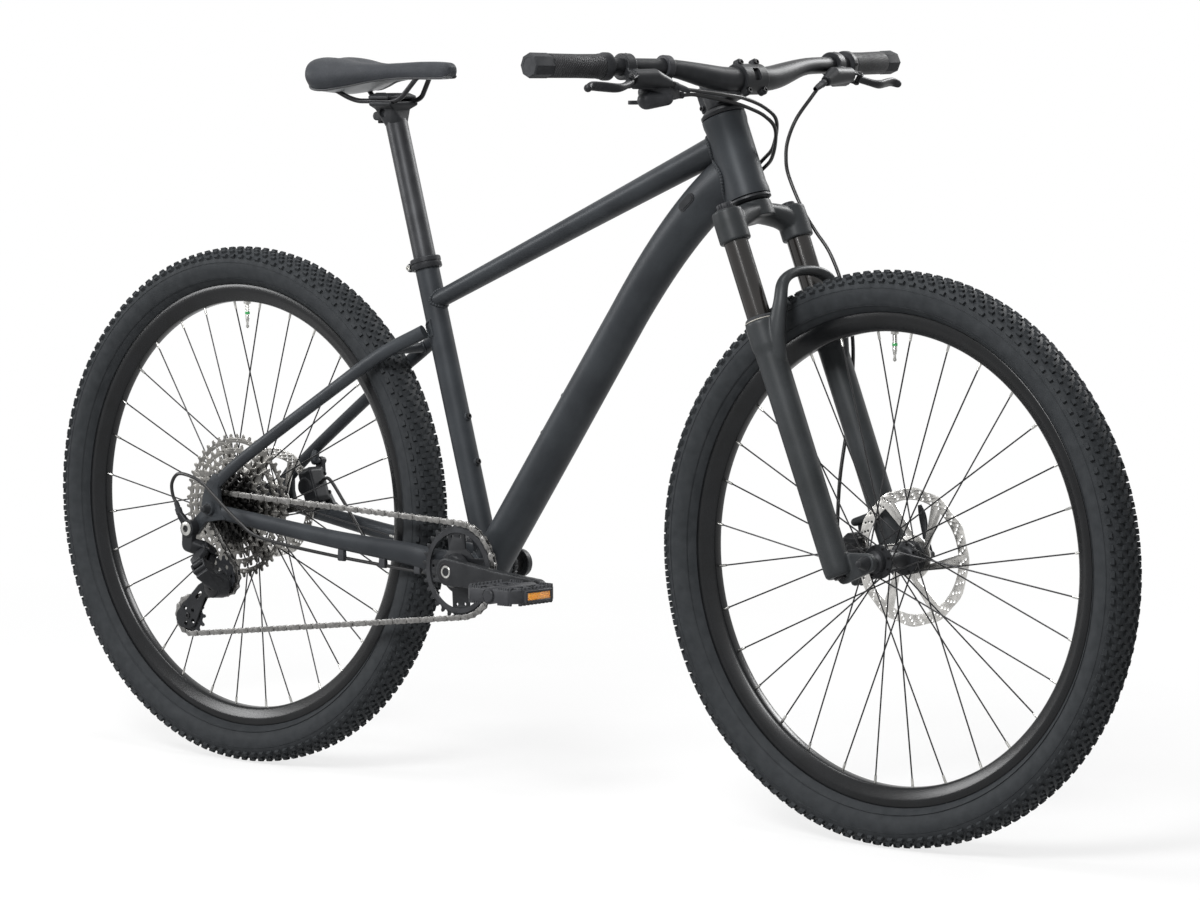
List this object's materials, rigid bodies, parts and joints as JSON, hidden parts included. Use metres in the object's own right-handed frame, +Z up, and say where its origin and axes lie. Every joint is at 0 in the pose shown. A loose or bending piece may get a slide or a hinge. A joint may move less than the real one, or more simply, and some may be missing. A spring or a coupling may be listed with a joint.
{
  "type": "mountain bike",
  "caption": "Hardtail mountain bike with a suspension fork, spoked wheels, disc brakes, single-ring chain drive with a rear derailleur, flat bar, and saddle.",
  "frame": {"origin": "on the ground, midway between the two axles, in the bike's middle plane", "axes": "+X forward to the front wheel, +Y to the rider's left (the drive side is -Y), +Z up"},
  "size_m": [1.908, 0.7482, 1.039],
  "materials": {
    "frame_paint": "matte anthracite paint",
    "fork_paint": "matte black paint",
    "stanchion": "gloss dark anodised tube",
    "black_alloy": "satin black anodised alloy",
    "steel": "satin steel",
    "rotor_steel": "brushed steel",
    "chain_steel": "grey steel, lightly oiled",
    "tyre": "black rubber with knobs",
    "rim": "satin black anodised rim",
    "rubber": "soft black rubber",
    "hose": "satin black hose",
    "plastic": "matte black plastic",
    "saddle": "black synthetic cover"
  },
  "bodies": {
    "frame": {"front_triangle": "frame_paint", "rear_stay_right": "frame_paint", "rear_stay_left": "frame_paint", "stay_bridge": "frame_paint", "bottom_bracket": "black_alloy", "headset_upper": "black_alloy", "headset_lower": "black_alloy", "seat_clamp": "black_alloy", "rear_axle": "black_alloy", "rear_brake_caliper": "black_alloy", "rear_brake_hose_stay": "hose", "shift_housing_stay": "hose", "chain": "chain_steel", "derailleur_mount": "black_alloy"},
    "seat": {"seatpost": "black_alloy", "saddle_clamp": "black_alloy", "saddle_rails": "steel", "saddle": "saddle"},
    "steering": {"fork_crown": "fork_paint", "stanchion_right": "stanchion", "stanchion_left": "stanchion", "stem": "black_alloy", "stem_faceplate": "black_alloy", "handlebar": "black_alloy", "grip_right": "rubber", "grip_left": "rubber", "lever_body_right": "black_alloy", "lever_body_left": "black_alloy", "shifter_body": "plastic", "rear_brake_hose_front": "hose", "shift_housing_front": "hose", "front_brake_hose": "hose"},
    "fork_lower": {"fork_lowers": "fork_paint", "front_axle": "black_alloy", "front_brake_caliper": "black_alloy"},
    "axle_lever": {"axle_lever": "black_alloy"},
    "front_wheel": {"front_tyre": "tyre", "front_rim": "rim", "front_hub": "black_alloy", "front_rotor": "rotor_steel"},
    "rear_wheel": {"rear_tyre": "tyre", "rear_rim": "rim", "rear_hub": "black_alloy", "rear_rotor": "rotor_steel"},
    "cassette": {"cassette": "steel"},
    "crank": {"crank_right": "black_alloy", "crank_left": "black_alloy", "chainring": "black_alloy"},
    "pedal_right": {"pedal_right": "plastic"},
    "pedal_left": {"pedal_left": "plastic"},
    "brake_lever_right": {"brake_lever_right": "black_alloy"},
    "brake_lever_left": {"brake_lever_left": "black_alloy"},
    "shift_lever": {"shift_lever": "plastic"},
    "release_lever": {"release_lever": "plastic"},
    "derailleur_outer_link": {"derailleur_outer_link": "black_alloy"},
    "derailleur_inner_link": {"derailleur_inner_link": "black_alloy"},
    "derailleur_body": {"derailleur_body": "black_alloy"},
    "derailleur_cage": {"derailleur_cage": "black_alloy"},
    "guide_pulley": {"guide_pulley": "plastic"},
    "tension_pulley": {"tension_pulley": "plastic"}
  },
  "joints": [
    {"name": "steering", "type": "hinge", "parent": "frame", "child": "steering", "pos_m": [0.30061, 0, 0.9338], "axis": [-0.3746, 0, 0.9272], "range_deg": [-55, 55], "deforming": ["rear_brake_hose_front", "shift_housing_front"]},
    {"name": "fork_travel", "type": "slide", "parent": "steering", "child": "fork_lower", "axis": [-0.3746, 0, 0.9272], "range_m": [0, 0.1], "stiffness_N_per_m": 8000, "springref_m": -0.02, "deforming": ["front_brake_hose"]},
    {"name": "axle_lever_hinge", "type": "hinge", "parent": "fork_lower", "child": "axle_lever", "pos_m": [0.583, 0.0743, 0.371], "axis": [-0.9272, 0, -0.3746], "range_deg": [0, 150]},
    {"name": "front_wheel_spin", "type": "hinge", "parent": "fork_lower", "child": "front_wheel", "pos_m": [0.583, 0, 0.371], "axis": [0, 1, 0], "continuous": true},
    {"name": "rear_wheel_spin", "type": "hinge", "parent": "frame", "child": "rear_wheel", "pos_m": [-0.583, 0, 0.371], "axis": [0, 1, 0], "continuous": true},
    {"name": "crank_spin", "type": "hinge", "parent": "frame", "child": "crank", "pos_m": [-0.12579, 0, 0.312], "axis": [0, 1, 0], "continuous": true, "deforming": ["chain"]},
    {"name": "cassette_spin", "type": "hinge", "parent": "frame", "child": "cassette", "pos_m": [-0.583, 0, 0.371], "axis": [0, 1, 0], "continuous": true},
    {"name": "pedal_right_spin", "type": "hinge", "parent": "crank", "child": "pedal_right", "pos_m": [0.04384, 0, 0.30073], "axis": [0, 1, 0], "continuous": true},
    {"name": "pedal_left_spin", "type": "hinge", "parent": "crank", "child": "pedal_left", "pos_m": [-0.29542, 0, 0.32327], "axis": [0, 1, 0], "continuous": true},
    {"name": "seatpost_slide", "type": "slide", "parent": "frame", "child": "seat", "axis": [-0.2706, 0, 0.9627], "range_m": [-0.1, 0.05]},
    {"name": "brake_lever_right_hinge", "type": "hinge", "parent": "steering", "child": "brake_lever_right", "pos_m": [0.34052, -0.23433, 0.98241], "axis": [-0.5288, 0.0629, -0.8464], "range_deg": [0, 15], "stiffness_Nm_per_rad": 1.5, "springref_deg": -11.46},
    {"name": "brake_lever_left_hinge", "type": "hinge", "parent": "steering", "child": "brake_lever_left", "pos_m": [0.34052, 0.23433, 0.98241], "axis": [0.5288, 0.0629, 0.8464], "range_deg": [0, 15], "stiffness_Nm_per_rad": 1.5, "springref_deg": -11.46},
    {"name": "shift_lever_hinge", "type": "hinge", "parent": "steering", "child": "shift_lever", "pos_m": [0.32584, -0.15984, 0.95583], "axis": [0, 0, -1], "range_deg": [0, 17], "stiffness_Nm_per_rad": 0.4, "springref_deg": -11.46},
    {"name": "release_lever_hinge", "type": "hinge", "parent": "steering", "child": "release_lever", "pos_m": [0.32584, -0.15984, 0.95233], "axis": [0, 0, -1], "range_deg": [0, 15], "stiffness_Nm_per_rad": 0.4, "springref_deg": -11.46},
    {"name": "derailleur_shift", "type": "hinge", "parent": "frame", "child": "derailleur_outer_link", "pos_m": [-0.595, -0.08132, 0.30732], "axis": [0.7541, 0.3337, 0.5656], "range_deg": [0, 59], "stiffness_Nm_per_rad": 0.8, "springref_deg": -22.92, "deforming": ["chain"]},
    {"name": "derailleur_inner_swing", "type": "hinge", "parent": "frame", "child": "derailleur_inner_link", "pos_m": [-0.595, -0.06668, 0.29868], "axis": [0.7541, 0.3337, 0.5656], "range_deg": [0, 59]},
    {"name": "derailleur_body_level", "type": "hinge", "parent": "derailleur_outer_link", "child": "derailleur_body", "pos_m": [-0.57136, -0.11375, 0.29493], "axis": [0.7541, 0.3337, 0.5656], "range_deg": [-59, 0]},
    {"name": "cage_tension", "type": "hinge", "parent": "derailleur_body", "child": "derailleur_cage", "pos_m": [-0.568, -0.062, 0.261], "axis": [0, -1, 0], "range_deg": [0, 40], "stiffness_Nm_per_rad": 0.5, "springref_deg": -34.38, "deforming": ["chain"]},
    {"name": "guide_pulley_spin", "type": "hinge", "parent": "derailleur_cage", "child": "guide_pulley", "pos_m": [-0.571, -0.062, 0.274], "axis": [0, 1, 0], "continuous": true},
    {"name": "tension_pulley_spin", "type": "hinge", "parent": "derailleur_cage", "child": "tension_pulley", "pos_m": [-0.64043, -0.062, 0.21213], "axis": [0, 1, 0], "continuous": true}
  ],
  "couplings": [
    {"joint": "cassette_spin", "follows": "crank_spin", "ratio": 2.9091},
    {"joint": "guide_pulley_spin", "follows": "crank_spin", "ratio": -2.4615},
    {"joint": "tension_pulley_spin", "follows": "crank_spin", "ratio": 2.4615},
    {"joint": "derailleur_inner_swing", "follows": "derailleur_shift", "ratio": 1},
    {"joint": "derailleur_body_level", "follows": "derailleur_shift", "ratio": -1}
  ]
}
